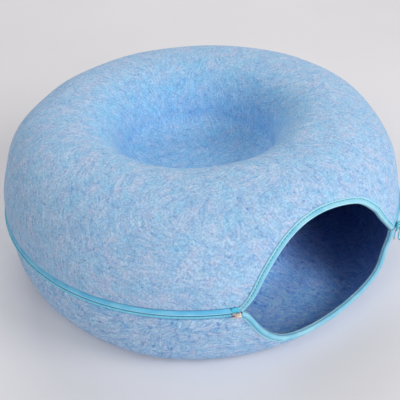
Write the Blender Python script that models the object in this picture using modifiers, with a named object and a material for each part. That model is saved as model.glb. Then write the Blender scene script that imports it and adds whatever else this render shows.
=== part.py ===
"""A felt cat cave: two moulded felt shells, zipped together round the outside, make a round tunnel
with a dish sunk into its top. One bound entrance is cut through the front wall, across the zip.

Metres, +Z up, and the entrance faces -Y. The origin is on the floor in the middle of the cave's
box. The cut entrance makes that box 9 mm shorter at the front, so the ring's own axis, which radii
and azimuths are counted from, stands a little in front of the origin.
Heights in the tables are counted from the seam, which is the middle of the zip's chain.
"""

import math

import bmesh
import bpy
import numpy as np

# ---------------------------------------------------------------- driving dimensions

HEIGHT = 0.200
RING_AXIS_Y = -0.0040
SEAM_HEIGHT = 0.0985
FELT = 0.0035
GAP = 0.0003  # between pieces that touch

# Each shell's outer face, as radii from the ring's axis and superellipse powers
TOP_RADIUS = 0.250  # upper shell at the zip
CREST_RADIUS = 0.161
CREST_POWER = 2.2
FOOT_RADIUS = 0.2508  # lower shell at the zip
BASE_OUTER_RADIUS = 0.212  # the flat ring it rests on
BASE_INNER_RADIUS = 0.160
FOOT_POWER = 2.6
THROAT_RADIUS = 0.098  # where the dish is steepest
THROAT_HEIGHT = 0.132
THROAT_POWER = 2.32
DISH_RADIUS = 0.057  # the dish's flat floor
DISH_HEIGHT = 0.1055
DISH_POWER = 1.6

# Slack round the entrance's right corner, where the walls stand out and the seam droops: the
# azimuth of its middle, its spread towards the entrance's middle and away from it (degrees), its
# size, and the heights over which it fades in and out again
# (azimuth, spread_before, spread_after, size, low, full_low, full_high, high)
CORNER_BULGE = (-64.0, 9.0, 18.0, 0.0048, 0.052, 0.092, 0.1045, 0.1390)
LEG_BULGE = (-68.0, 10.0, 16.0, 0.0045, 0.002, 0.036, 0.045, 0.080)
DROOP = (-64.0, 8.0, 18.0, 0.0040, 0.050, 0.078, 0.118, 0.146)

# How far each shell's rim stands off the seam, for the zip between them
TOP_RIM = 0.0070
FOOT_RIM = 0.0045

# The cut in the felt round the entrance, seen from the front, from corner to corner
# (across, height over the seam)
ENTRANCE_TOP = (
    (-0.1120, 0.0000),
    (-0.1012, 0.0139),
    (-0.0832, 0.0418),
    (-0.0579, 0.0631),
    (-0.0271, 0.0740),
    (0.0080, 0.0747),
    (0.0442, 0.0648),
    (0.0675, 0.0460),
    (0.0802, 0.0299),
    (0.0966, 0.0098),
    (0.1052, 0.0000),
)
ENTRANCE_FOOT = (
    (-0.1120, 0.0000),
    (-0.1045, -0.0078),
    (-0.0877, -0.0385),
    (-0.0655, -0.0610),
    (-0.0385, -0.0688),
    (0.0000, -0.0685),
    (0.0400, -0.0672),
    (0.0700, -0.0606),
    (0.0905, -0.0480),
    (0.1010, -0.0275),
    (0.1042, -0.0100),
    (0.1052, 0.0000),
)

# Binding folded over the cut edge
BINDING = 0.0010  # its thickness
BINDING_WIDTH = 0.0058
BINDING_EASE = 0.0005  # between its inner leg and the felt
BINDING_TIP = 0.0004  # slope along each leg's edge
BINDING_FOLD = 0.0007  # rounding of the fold along the cut
BINDING_TURN = 0.0005  # from the cut to where the legs start to curve
TOP_BINDING_START = 0.0022  # over the seam, at both corners
FOOT_BINDING_START = 0.0016

# Zip, with heights over or under the seam and radii from the ring's axis
TAPE = 0.0010
TAPE_RADIUS = 0.2512  # under the chain
CHAIN_RADIUS = 0.2520  # the chain's back
CHAIN_DEPTH = 0.0012
CHAIN_HALF_HEIGHT = 0.0016
CHAIN_SHOULDER = (0.6, 0.5)  # shares of its depth and of its half height
TAPE_GAP = 0.0002  # half the gap between the two tapes
TAPE_EASE = 0.0009  # between a tape and the felt's inner face
TAPE_KNEE = (0.0016, 0.0012)  # below the felt's rim and out from behind it, where it bends
TAPE_RIM = 0.0002  # below the felt's rim, where it leaves the felt's inner face
TAPE_LEAN = 0.0006  # of its hidden edge, into the ring
TAPE_SHARES = (0.4, 0.7, 0.9, 1.0)  # of its height, for its rows near a corner
TAPE_CLEAR = 0.0007  # from its edge to the end of a binding
TAPE_UNDER = 0.0004  # from its edge to the felt's rim, beside a binding
TAPE_WIDENS = (0.0010, 0.0020, 0.0045)  # beyond a binding, up to its full reach
TOP_TAPE_REACH = 0.0125  # behind the felt
FOOT_TAPE_REACH = 0.0105

# Parts at the ends of the zip, as (radial, along the zip, up)
END_BOX = (0.0030, 0.0090, 0.0063)
END_BOX_EDGE = 0.0006
SLIDER = (0.0022, 0.0110, 0.0085)
SLIDER_EDGE = 0.0008
SLIDER_TURN = 26.75  # degrees round from the front, towards +X
BRIDGE_WIRE = 0.0007  # radius
BRIDGE_SPAN = 0.0070
BRIDGE_RISE = 0.0033
BRIDGE_SINK = 0.0006  # of its feet, into the slider
BRIDGE_ARCH = ((1.0, 0.0014), (0.72, 0.0004), (0.4, 0.0))  # (share of half its span, below its top)
PULL_WIRE = 0.0007  # radius
PULL_LENGTH = 0.0220
PULL_WIDTH = 0.0046  # between the middles of its sides
TAIL = (0.0010, 0.0046, 0.0105)
TAIL_EDGE = 0.00025
TAIL_TURN = 26.0
TAIL_TOP = -0.0046
TAIL_LIFT = 0.0011  # of its back, off the radius of the chain's back
TAIL_STOP = (0.0022, 0.0028, 0.0026)
TAIL_STOP_EDGE = 0.0004

# Mesh steps
EDGE_STEPS = 32  # along the cut of the entrance
RING_STEPS = 50  # round the rest of the ring
NEAR_CORNER = (2.0, 4.0)  # degrees beyond a corner of the entrance, extra columns
WALL_ROWS = (0, 0.035, 0.07, 0.12, 0.22, 0.37, 0.53, 0.69, 0.85, 1)  # closer under the binding
TOP_INNER_STEPS = 8  # from the crest to the ring's axis
FOOT_INNER_STEPS = 7
TAPE_STEPS = 48
CHAIN_STEPS = 54
SLACK_REACH = 30.0  # degrees of the zip along the corner's slack
SLACK_STEPS = 13  # within them
PULL_STEPS = 8  # round each end
FINE_STEPS = 1500  # for finding the place on a wall that is nearest a point
NORMAL_STEP = 0.0005

FELT_BLUE = (0.33, 0.55, 0.83, 1)
TAPE_CYAN = (0.16, 0.56, 0.78, 1)
BINDING_CYAN = (0.36, 0.72, 0.84, 1)
CHAIN_CYAN = (0.22, 0.60, 0.80, 1)
TEAL_PAINT = (0.08, 0.50, 0.58, 1)
ROSE_BRASS = (0.62, 0.43, 0.34, 1)


# ---------------------------------------------------------------- curves in a plane


def quarter(side, cap, power, steps=48):
    """A superellipse quarter as rows of (radius, height), upright at side and level at cap."""
    turn = np.linspace(0, math.pi / 2, steps)
    radius = cap[0] + (side[0] - cap[0]) * np.cos(turn) ** (2 / power)
    height = side[1] + (cap[1] - side[1]) * np.sin(turn) ** (2 / power)
    return np.column_stack((radius, height))


def distances(points):
    steps = np.linalg.norm(np.diff(points, axis=0), axis=1)
    return np.concatenate(([0], np.cumsum(steps)))


def evenly(points, count):
    """count points at even distances along a line of points."""
    along = distances(points)
    places = np.linspace(0, along[-1], count)
    return np.column_stack([np.interp(places, along, column) for column in points.T])


def smooth_line(knots, steps=24):
    """A Catmull-Rom curve through the knots."""
    knots = np.array(knots)
    ends = (2 * knots[0] - knots[1], 2 * knots[-1] - knots[-2])
    padded = np.vstack((ends[0], knots, ends[1]))
    share = np.linspace(0, 1, steps, endpoint=False)[:, None]
    stretches = []
    for before, start, end, after in zip(padded, padded[1:], padded[2:], padded[3:]):
        slope = end - before
        bend = 2 * before - 5 * start + 4 * end - after
        twist = 3 * start - before - 3 * end + after
        stretches.append(start + (slope * share + bend * share**2 + twist * share**3) / 2)
    return np.vstack((*stretches, knots[-1]))


def beyond(line, height):
    """The stretch of a line, which rises and falls again, that is over a height."""
    inside = np.flatnonzero(np.abs(line[:, 1]) > height)
    first, last = inside[0], inside[-1]

    def crossing(low, high):
        share = (height - abs(line[low, 1])) / (abs(line[high, 1]) - abs(line[low, 1]))
        return line[low] + share * (line[high] - line[low])

    ends = crossing(first - 1, first), crossing(last + 1, last)
    return np.vstack((ends[0], line[first : last + 1], ends[1]))


def felt_line(cut, rim):
    """The cut in the felt, which stops where it meets the felt's rim."""
    return evenly(beyond(smooth_line(cut), rim), EDGE_STEPS + 1)


def binding_line(cut, rim, start):
    """The felt's cut, run on past the rim to where the binding starts and ends."""
    ends = beyond(smooth_line(cut), start)
    return np.vstack((ends[0], felt_line(cut, rim), ends[-1]))


# ---------------------------------------------------------------- the shells' outer faces


class Meridian:
    """A shell's outer face in section, from the seam to the ring's axis."""

    def __init__(self, facing, wall, rest):
        self.facing = facing  # 1 for the upper shell, -1 for the lower one
        self.points = np.vstack((wall, rest))
        self.along = distances(self.points)
        self.wall_end = distances(wall)[-1]
        self.fine_along = np.linspace(0, self.wall_end, FINE_STEPS)
        self.fine = np.column_stack(self.at(self.fine_along))

    def at(self, along):
        return [np.interp(along, self.along, column) for column in self.points.T]

    def wall_at(self, height):
        """Distance along the outer wall, at a height over or under the seam."""
        wall = self.along <= self.wall_end
        rise = self.facing * (self.points[wall, 1] - SEAM_HEIGHT)
        return np.interp(abs(height), rise, self.along[wall])

    def nearest(self, radius, height):
        """Distance along the outer wall of the place nearest a point."""
        return self.fine_along[np.argmin(np.hypot(*(self.fine - (radius, height)).T))]

    def normal(self, along):
        """The direction out of the felt, as (radius, height)."""
        before, after = self.at(along - NORMAL_STEP), self.at(along + NORMAL_STEP)
        across, up = np.subtract(after, before)
        return self.facing * np.array((up, -across)) / math.hypot(across, up)


def top_meridian():
    crest = (CREST_RADIUS, HEIGHT)
    throat = (THROAT_RADIUS, THROAT_HEIGHT)
    dish = quarter(throat, (DISH_RADIUS, DISH_HEIGHT), DISH_POWER)
    return Meridian(
        1,
        quarter((TOP_RADIUS, SEAM_HEIGHT), crest, CREST_POWER),
        np.vstack(
            (
                quarter(throat, crest, THROAT_POWER)[-2::-1],
                dish[1:],
                (0, DISH_HEIGHT),
            )
        ),
    )


def foot_meridian():
    """The dish is mirrored in the lower shell, as a hollow under the ring."""
    throat = (THROAT_RADIUS, HEIGHT - THROAT_HEIGHT)
    dish_height = HEIGHT - DISH_HEIGHT
    dish = quarter(throat, (DISH_RADIUS, dish_height), DISH_POWER)
    return Meridian(
        -1,
        quarter((FOOT_RADIUS, SEAM_HEIGHT), (BASE_OUTER_RADIUS, 0), FOOT_POWER),
        np.vstack(
            (
                quarter(throat, (BASE_INNER_RADIUS, 0), THROAT_POWER)[::-1],
                dish[1:],
                (0, dish_height),
            )
        ),
    )


def turn_of(across, radius):
    """Azimuth of a point of the front wall, with the front at -90 degrees."""
    return np.arcsin(across / radius) - math.pi / 2


def ease(share):
    """A smooth step from 0 to 1."""
    share = np.clip(share, 0, 1)
    return share * share * (3 - 2 * share)


def slack(turn, height, azimuth, before, after, size, low, full_low, full_high, high):
    """How far one kind of slack moves a place of the outer wall."""
    off = (math.degrees(turn) - azimuth + 180) % 360 - 180
    spread = before if off < 0 else after
    fade = ease((height - low) / (full_low - low)) * ease((high - height) / (high - full_high))
    return size * math.exp(-((off / spread) ** 2)) * fade


def turned(turn, radius, height):
    return (radius * math.cos(turn), radius * math.sin(turn), height)


def around(turn, radius, height):
    """A place on the ring, moved with the corner's slack."""
    if radius < CREST_RADIUS:
        return turned(turn, radius, height)
    bulge = slack(turn, height, *CORNER_BULGE) + slack(turn, height, *LEG_BULGE)
    return turned(turn, radius + bulge, height - slack(turn, height, *DROOP))


# ---------------------------------------------------------------- making objects


def paint(name, color, roughness, metallic=0.0):
    material = bpy.data.materials.new(name)
    material.use_nodes = True
    shader = material.node_tree.nodes["Principled BSDF"]
    shader.inputs["Base Color"].default_value = color
    shader.inputs["Roughness"].default_value = roughness
    shader.inputs["Metallic"].default_value = metallic
    return material


def add_object(name, data, material):
    made = bpy.data.objects.new(name, data)
    data.materials.append(material)
    made.parent = ring_axis
    cave.objects.link(made)
    return made


def add_mesh(name, shape, material):
    bmesh.ops.recalc_face_normals(shape, faces=shape.faces)
    mesh = bpy.data.meshes.new(name)
    shape.to_mesh(mesh)
    shape.free()
    mesh.shade_smooth()
    return add_object(name, mesh, material)


def thicken(made, thickness, offset):
    """Gives an open sheet its thickness: offset -1 is all behind it, 0 is half on each side."""
    solid = made.modifiers.new("thickness", "SOLIDIFY")
    solid.thickness = thickness
    solid.offset = offset
    solid.use_even_offset = True
    solid.use_quality_normals = True


def grid_faces(shape, rows, closed):
    """Faces between rows of vertices, each row one step further round the ring."""
    pairs = list(zip(rows, rows[1:]))
    if closed:
        pairs.append((rows[-1], rows[0]))
    for row, following in pairs:
        for k in range(len(row) - 1):
            shape.faces.new((row[k], following[k], following[k + 1], row[k + 1]))


# ---------------------------------------------------------------- felt shells


def shell(name, meridian, cut, rim, material):
    """A felt shell: a sheet on the outer face, from its rim to the axis, thickened inwards.

    Its rim follows the cut of the entrance, and stands rim off the seam everywhere else."""
    edge = felt_line(cut, rim)
    edge_along = meridian.wall_at(edge[:, 1])
    edge_turn = turn_of(edge[:, 0], meridian.at(edge_along)[0])
    near = np.radians(NEAR_CORNER)
    start, end = edge_turn[-1], edge_turn[0] + 2 * math.pi
    plain = np.linspace(start + 2 * near[-1], end - 2 * near[-1], RING_STEPS)
    plain_turn = np.concatenate((start + near, plain, end - near[::-1]))
    turns = np.concatenate((edge_turn, plain_turn))
    starts = np.concatenate((edge_along, np.full(len(plain_turn), meridian.wall_at(rim))))

    whole = meridian.along[-1]
    inner_rows = np.linspace(meridian.wall_end, whole, TOP_INNER_STEPS + 1)[1:-1]
    if meridian.facing < 0:
        flat_end = meridian.wall_end + BASE_OUTER_RADIUS - BASE_INNER_RADIUS
        inner_rows = np.linspace(flat_end, whole, FOOT_INNER_STEPS + 1)[:-1]

    shape = bmesh.new()
    rows = []
    for turn, first in zip(turns, starts):
        wall = first + (meridian.wall_end - first) * np.array(WALL_ROWS)
        places = zip(*meridian.at(np.concatenate((wall, inner_rows))))
        rows.append([shape.verts.new(around(turn, *place)) for place in places])
    grid_faces(shape, rows, closed=True)
    middle = shape.verts.new((0, 0, meridian.points[-1, 1]))
    for row, following in zip(rows, rows[1:] + rows[:1]):
        shape.faces.new((row[-1], following[-1], middle))

    mesh = bpy.data.meshes.new(name)
    if meridian.facing < 0:
        bmesh.ops.reverse_faces(shape, faces=shape.faces)
    shape.to_mesh(mesh)
    shape.free()
    mesh.shade_smooth()
    thicken(add_object(name, mesh, material), FELT, -1)


# ---------------------------------------------------------------- binding


def binding_section():
    """(inwards from the cut, out of the felt) round a channel folded over the felt's edge."""
    back = -FELT - BINDING_EASE
    tip = BINDING_WIDTH - BINDING_TIP
    fold = -GAP - BINDING_FOLD
    return (
        (BINDING_WIDTH, GAP),
        (tip, GAP + BINDING),
        (BINDING_TURN, GAP + BINDING),
        (fold, GAP),
        (-GAP - BINDING, -FELT / 2),
        (fold, back),
        (BINDING_TURN, back - BINDING),
        (tip, back - BINDING),
        (BINDING_WIDTH, back),
        (-GAP, back),
        (-GAP, GAP),
    )


def binding(name, meridian, line, material):
    """A U section swept along the cut, its legs lying on the felt's two faces."""
    along = meridian.wall_at(line[:, 1])
    radius, height = meridian.at(along)
    turns = turn_of(line[:, 0], radius)
    path = np.array([turned(*place) for place in zip(turns, radius, height)])
    tangents = np.gradient(path, axis=0)

    shape = bmesh.new()
    loops = []
    for place, tangent, turn, distance in zip(path, tangents, turns, along):
        across, up = meridian.normal(distance)
        outward = np.array(turned(turn, across, up))
        inward = np.cross(outward, tangent)
        inward *= meridian.facing / np.linalg.norm(inward)
        loop = []
        for reach, out in binding_section():
            x, y, z = place + inward * reach
            foot = meridian.nearest(math.hypot(x, y), z)
            foot_radius, foot_height = meridian.at(foot)
            lift, rise = meridian.normal(foot) * out
            azimuth = math.atan2(y, x)
            loop.append(shape.verts.new(around(azimuth, foot_radius + lift, foot_height + rise)))
        loops.append(loop)
    grid_faces(shape, [loop + loop[:1] for loop in loops], closed=False)
    shape.faces.new(loops[0])
    shape.faces.new(loops[-1])
    add_mesh(name, shape, material)


# ---------------------------------------------------------------- zip


def zip_span():
    """Azimuths of the zip's two ends: after the entrance's right corner, and at its left one."""
    left = turn_of(ENTRANCE_TOP[0][0], TAPE_RADIUS)
    right = turn_of(ENTRANCE_TOP[-1][0], TAPE_RADIUS)
    inset = GAP / TAPE_RADIUS
    return right + inset, left + 2 * math.pi - inset


def along_zip(start, end, steps):
    """Azimuths from start to end, closer together along the slack by the start."""
    slack_end = start + math.radians(SLACK_REACH)
    close = np.linspace(start, slack_end, SLACK_STEPS, endpoint=False)
    return np.concatenate((close, np.linspace(slack_end, end, steps)))


def tape_limits(line, rim, reach):
    """How far a tape reaches from the seam near each corner: (distances from its end, heights).

    There it passes under the end of the binding, and further on it runs on behind the felt."""
    along_ring = TAPE_RADIUS * turn_of(line[:, 0], TAPE_RADIUS)
    rolled_out = np.column_stack((along_ring, abs(line[:, 1])))
    limits = []
    for side, corner, following in ((-1, 0, 1), (1, -1, -2)):
        start = rolled_out[corner, 1]
        along = rolled_out[following] - rolled_out[corner]
        along /= np.linalg.norm(along)
        tip_out = BINDING_WIDTH * along[1]
        tip_height = start - side * BINDING_WIDTH * along[0]
        outs = (0, tip_out, *(tip_out + further for further in TAPE_WIDENS))
        heights = (
            start - TAPE_CLEAR,
            min(tip_height, rim) - TAPE_CLEAR,
            rim - TAPE_UNDER,
            rim + TAPE_CLEAR,
            reach,
        )
        limits.append((outs, heights))
    return limits


def tape(name, facing, rim, reach, felt_face, line, material):
    """A zip tape: from behind the felt, out under the rim, to the back of the chain.

    Its hidden edge keeps clear of the bindings near the entrance's corners."""
    behind = felt_face - TAPE_EASE - TAPE / 2
    under, out = TAPE_KNEE
    bends = (TAPE_GAP, CHAIN_HALF_HEIGHT, rim - under, rim - TAPE_RIM, reach)
    radii = (TAPE_RADIUS, TAPE_RADIUS, behind + out, behind, behind - TAPE_LEAN)
    left, right = tape_limits(line, rim, reach)
    start, end = zip_span()
    near_start = start + np.array(right[0]) / TAPE_RADIUS
    near_end = end - np.array(left[0][::-1]) / TAPE_RADIUS
    middle = along_zip(near_start[-1], near_end[0], TAPE_STEPS)[1:-1]

    shape = bmesh.new()
    rows = []
    for turn in (*near_start, *middle, *near_end):
        edge = min(
            np.interp((end - turn) * TAPE_RADIUS, *left),
            np.interp((turn - start) * TAPE_RADIUS, *right),
        )
        rows_here = (TAPE_GAP, *(share * edge for share in TAPE_SHARES))
        row = []
        for height in np.minimum(rows_here, bends):
            radius = np.interp(height, bends, radii)
            row.append(shape.verts.new(around(turn, radius, SEAM_HEIGHT + facing * height)))
        rows.append(row)
    grid_faces(shape, rows, closed=False)
    thicken(add_mesh(name, shape, material), TAPE, 0)


def chain(material):
    """The closed chain, one ring sector from the end box to the slider."""
    start = math.radians(SLIDER_TURN - 90) - SLIDER[1] / 2 / CHAIN_RADIUS
    end = zip_span()[1] - (END_BOX[1] + GAP) / CHAIN_RADIUS
    half = CHAIN_HALF_HEIGHT
    side = CHAIN_SHOULDER[0] * CHAIN_DEPTH
    front = CHAIN_SHOULDER[1] * half
    section = (
        (0, -half),
        (side, -half),
        (CHAIN_DEPTH, -front),
        (CHAIN_DEPTH, front),
        (side, half),
        (0, half),
    )
    shape = bmesh.new()
    loops = []
    for turn in along_zip(start, end, CHAIN_STEPS):
        loops.append(
            [
                shape.verts.new(around(turn, CHAIN_RADIUS + out, SEAM_HEIGHT + up))
                for out, up in section
            ]
        )
    grid_faces(shape, [loop + loop[:1] for loop in loops], closed=False)
    shape.faces.new(loops[0])
    shape.faces.new(loops[-1])
    add_mesh("zip_chain", shape, material)


def block(name, size, edge, turn, back_radius, over_seam, material):
    """A box with rounded edges, its back at a radius, turned to face out of the ring."""
    shape = bmesh.new()
    bmesh.ops.create_cube(shape, size=1)
    bmesh.ops.scale(shape, vec=size, verts=shape.verts)
    made = add_mesh(name, shape, material)
    rounding = made.modifiers.new("rounding", "BEVEL")
    rounding.width = edge
    rounding.segments = 2
    across, along, seam = around(turn, back_radius + size[0] / 2, SEAM_HEIGHT)
    made.location = (across, along, seam + over_seam)
    made.rotation_euler = (0, 0, turn)
    return made


def wire(name, points, radius, cyclic, material):
    curve = bpy.data.curves.new(name, "CURVE")
    curve.dimensions = "3D"
    curve.bevel_depth = radius
    curve.bevel_resolution = 1
    curve.use_fill_caps = not cyclic
    spline = curve.splines.new("POLY")
    spline.points.add(len(points) - 1)
    for point, place in zip(spline.points, points):
        point.co = (*place, 1)
    spline.use_cyclic_u = cyclic
    return add_object(name, curve, material)


def to_mesh(made):
    """Turns a curve object into a mesh object, with its caps welded on."""
    bpy.context.view_layer.update()
    graph = bpy.context.evaluated_depsgraph_get()
    mesh = bpy.data.meshes.new_from_object(made.evaluated_get(graph))
    shape = bmesh.new()
    shape.from_mesh(mesh)
    bmesh.ops.remove_doubles(shape, verts=shape.verts, dist=1e-6)
    shape.to_mesh(mesh)
    shape.free()
    name = made.name
    place = made.matrix_world.copy()
    bpy.data.objects.remove(made)
    solid = bpy.data.objects.new(name, mesh)
    solid.matrix_world = place
    return solid


def slider(material):
    """The slider's plate with the bridge that carries the pull."""
    turn = math.radians(SLIDER_TURN - 90)
    back = CHAIN_RADIUS + CHAIN_DEPTH + GAP
    plate = block("zip_slider", SLIDER, SLIDER_EDGE, turn, back, 0, material)

    top = SLIDER[0] / 2 + BRIDGE_RISE
    half = BRIDGE_SPAN / 2
    rise = [(SLIDER[0] / 2 - BRIDGE_SINK, -half, 0)]
    rise += [(top - below, -share * half, 0) for share, below in BRIDGE_ARCH]
    arch = rise + [(out, -along, 0) for out, along, _ in reversed(rise)]
    bridge = wire("slider_bridge", arch, BRIDGE_WIRE, False, material)
    bridge.location = plate.location
    bridge.rotation_euler = plate.rotation_euler
    bridge = to_mesh(bridge)
    bridge.hide_render = True
    bridge.display_type = "WIRE"
    cutters.objects.link(bridge)
    join = plate.modifiers.new("bridge", "BOOLEAN")
    join.operation = "UNION"
    join.solver = "EXACT"
    join.object = bridge

    # The pull is a long wire loop. It hangs on the bridge, one side inside it and one outside.
    bend = PULL_WIDTH / 2
    middle = top - BRIDGE_WIRE - PULL_WIRE - GAP + bend
    loop_top = BRIDGE_WIRE + PULL_WIRE + GAP
    loop_foot = loop_top - PULL_LENGTH + 2 * PULL_WIRE
    loop = []
    for start, height in ((0, loop_top - bend), (math.pi, loop_foot + bend)):
        for angle in np.linspace(start, start + math.pi, PULL_STEPS + 1):
            loop.append((middle - bend * math.cos(angle), 0, height + bend * math.sin(angle)))
    pull = wire("zip_pull", loop, PULL_WIRE, True, material)
    pull.location = plate.location
    pull.rotation_euler = plate.rotation_euler


def zip_ends(cyan, teal, brass):
    """The box that closes the zip at the left corner, and the tape's loose tail at the right."""
    end = zip_span()[1]
    box_turn = end - END_BOX[1] / 2 / CHAIN_RADIUS
    block("zip_end_box", END_BOX, END_BOX_EDGE, box_turn, CHAIN_RADIUS, 0, brass)
    slider(teal)

    tail_turn = math.radians(TAIL_TURN - 90)
    tail_back = CHAIN_RADIUS + TAIL_LIFT
    block("tape_tail", TAIL, TAIL_EDGE, tail_turn, tail_back, TAIL_TOP - TAIL[2] / 2, cyan)
    stop_middle = TAIL_TOP - TAIL[2] - GAP - TAIL_STOP[2] / 2
    stop_back = tail_back + (TAIL[0] - TAIL_STOP[0]) / 2
    block("tail_stop", TAIL_STOP, TAIL_STOP_EDGE, tail_turn, stop_back, stop_middle, brass)


# ---------------------------------------------------------------- the cave

for old in list(bpy.data.objects):
    bpy.data.objects.remove(old)
cave = bpy.data.collections.new("felt_cat_cave")
cutters = bpy.data.collections.new("cutters")
bpy.context.scene.collection.children.link(cave)
bpy.context.scene.collection.children.link(cutters)
ring_axis = bpy.data.objects.new("ring_axis", None)
ring_axis.location = (0, RING_AXIS_Y, 0)
cave.objects.link(ring_axis)

felt = paint("felt", FELT_BLUE, 0.95)
tape_cloth = paint("zip_tape", TAPE_CYAN, 0.75)
binding_cloth = paint("binding", BINDING_CYAN, 0.7)
chain_nylon = paint("zip_chain", CHAIN_CYAN, 0.45)
teal_metal = paint("slider_paint", TEAL_PAINT, 0.35)
rose_brass = paint("rose_brass", ROSE_BRASS, 0.35, 1.0)

top, foot = top_meridian(), foot_meridian()
shell("upper_shell", top, ENTRANCE_TOP, TOP_RIM, felt)
shell("lower_shell", foot, ENTRANCE_FOOT, FOOT_RIM, felt)
over = binding_line(ENTRANCE_TOP, TOP_RIM, TOP_BINDING_START)
under = binding_line(ENTRANCE_FOOT, FOOT_RIM, FOOT_BINDING_START)
binding("upper_binding", top, over, binding_cloth)
binding("lower_binding", foot, under, binding_cloth)
tape("upper_zip_tape", 1, TOP_RIM, TOP_TAPE_REACH, TOP_RADIUS - FELT, over, tape_cloth)
tape("lower_zip_tape", -1, FOOT_RIM, FOOT_TAPE_REACH, FOOT_RADIUS - FELT, under, tape_cloth)
chain(chain_nylon)
zip_ends(tape_cloth, teal_metal, rose_brass)
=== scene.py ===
"""The looks of the felt cat cave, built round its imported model."""

import math

import bmesh
import bpy
import numpy as np
from mathutils import Matrix, Vector


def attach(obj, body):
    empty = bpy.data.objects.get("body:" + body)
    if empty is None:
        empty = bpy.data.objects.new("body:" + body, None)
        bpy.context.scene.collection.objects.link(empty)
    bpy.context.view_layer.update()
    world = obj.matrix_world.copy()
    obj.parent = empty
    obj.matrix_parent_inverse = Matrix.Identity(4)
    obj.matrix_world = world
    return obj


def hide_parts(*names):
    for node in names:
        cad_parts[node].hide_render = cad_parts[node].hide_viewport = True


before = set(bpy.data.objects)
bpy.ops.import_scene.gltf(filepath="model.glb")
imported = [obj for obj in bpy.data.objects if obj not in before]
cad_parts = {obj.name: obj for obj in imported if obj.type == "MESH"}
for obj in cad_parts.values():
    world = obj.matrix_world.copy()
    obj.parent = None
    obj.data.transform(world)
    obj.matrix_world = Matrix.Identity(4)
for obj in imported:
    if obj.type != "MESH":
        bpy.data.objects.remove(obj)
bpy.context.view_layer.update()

# ---------------------------------------------------------------- dimensions
#
# In metres. They are the solids' own, apart from FOOT_RIM, the two bindings' starts and the coil's
# half height, which come nearer to the photo and stay within 1.5 mm of the solids.

HEIGHT = 0.200
RING_AXIS_Y = -0.0040
SEAM_HEIGHT = 0.0985
FELT = 0.0035
GAP = 0.0003

TOP_RADIUS = 0.250
CREST_RADIUS = 0.161
CREST_POWER = 2.2
FOOT_RADIUS = 0.2508
BASE_OUTER_RADIUS = 0.212
BASE_INNER_RADIUS = 0.160
FOOT_POWER = 2.6
THROAT_RADIUS = 0.098
THROAT_HEIGHT = 0.132
THROAT_POWER = 2.32
DISH_RADIUS = 0.057
DISH_HEIGHT = 0.1055
DISH_POWER = 1.6

# How far the rims of the two felts are from the seam
TOP_RIM = 0.0070
FOOT_RIM = 0.0060

# Slack round the entrance's right corner, where the walls stand out and the seam droops
# (azimuth, spread_before, spread_after, size, low, full_low, full_high, high)
CORNER_BULGE = (-64.0, 9.0, 18.0, 0.0048, 0.052, 0.092, 0.1045, 0.1390)
LEG_BULGE = (-68.0, 10.0, 16.0, 0.0045, 0.002, 0.036, 0.045, 0.080)
DROOP = (-64.0, 8.0, 18.0, 0.0040, 0.050, 0.078, 0.118, 0.146)

# The cut of the entrance in each felt: (across, height over the seam)
ENTRANCE_TOP = (
    (-0.1120, 0.0000),
    (-0.1012, 0.0139),
    (-0.0832, 0.0418),
    (-0.0579, 0.0631),
    (-0.0271, 0.0740),
    (0.0080, 0.0747),
    (0.0442, 0.0648),
    (0.0675, 0.0460),
    (0.0802, 0.0299),
    (0.0966, 0.0098),
    (0.1052, 0.0000),
)
ENTRANCE_FOOT = (
    (-0.1120, 0.0000),
    (-0.1045, -0.0078),
    (-0.0877, -0.0385),
    (-0.0655, -0.0610),
    (-0.0385, -0.0688),
    (0.0000, -0.0685),
    (0.0400, -0.0672),
    (0.0700, -0.0606),
    (0.0905, -0.0480),
    (0.1010, -0.0275),
    (0.1042, -0.0100),
    (0.1052, 0.0000),
)

BINDING = 0.0010
BINDING_WIDTH = 0.0058
BINDING_EASE = 0.0005

# How far the bindings' ends are from the seam
TOP_BINDING_START = 0.0014
FOOT_BINDING_START = 0.0008

TAPE = 0.0010
TAPE_RADIUS = 0.2512
CHAIN_RADIUS = 0.2520
COIL_HALF_HEIGHT = 0.00110

# The slider's place in degrees from the front towards +X
SLIDER_TURN = 26.75
SLIDER_LENGTH = 0.0110
END_BOX_LENGTH = 0.0090

# ---------------------------------------------------------------- curves

QUARTER_STEPS = 240
KNOT_STEPS = 24
WALL_SAMPLES = 3000
NORMAL_STEP = 0.0008
WAVES = 14
WAVE_SPREAD = (0.6, 1.5)


def quarter(side, cap, power):
    """A quarter of a superellipse from its side to its cap, as (radius, height)."""
    turn = np.linspace(0, math.pi / 2, QUARTER_STEPS)
    radius = cap[0] + (side[0] - cap[0]) * np.cos(turn) ** (2 / power)
    height = side[1] + (cap[1] - side[1]) * np.sin(turn) ** (2 / power)
    return np.column_stack((radius, height))


def distances(points):
    """How far along a line each of its points lies."""
    steps = np.linalg.norm(np.diff(points, axis=0), axis=1)
    return np.concatenate(([0], np.cumsum(steps)))


def evenly(points, count):
    """The same line with evenly spaced points."""
    along = distances(points)
    places = np.linspace(0, along[-1], count)
    return np.column_stack([np.interp(places, along, column) for column in points.T])


def smooth_line(knots):
    """A smooth curve through the knots."""
    knots = np.array(knots)
    ends = (2 * knots[0] - knots[1], 2 * knots[-1] - knots[-2])
    padded = np.vstack((ends[0], knots, ends[1]))
    share = np.linspace(0, 1, KNOT_STEPS, endpoint=False)[:, None]
    stretches = []
    for before, start, end, after in zip(padded, padded[1:], padded[2:], padded[3:]):
        slope = end - before
        bend = 2 * before - 5 * start + 4 * end - after
        twist = 3 * start - before - 3 * end + after
        stretches.append(start + (slope * share + bend * share**2 + twist * share**3) / 2)
    return np.vstack((*stretches, knots[-1]))


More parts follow.
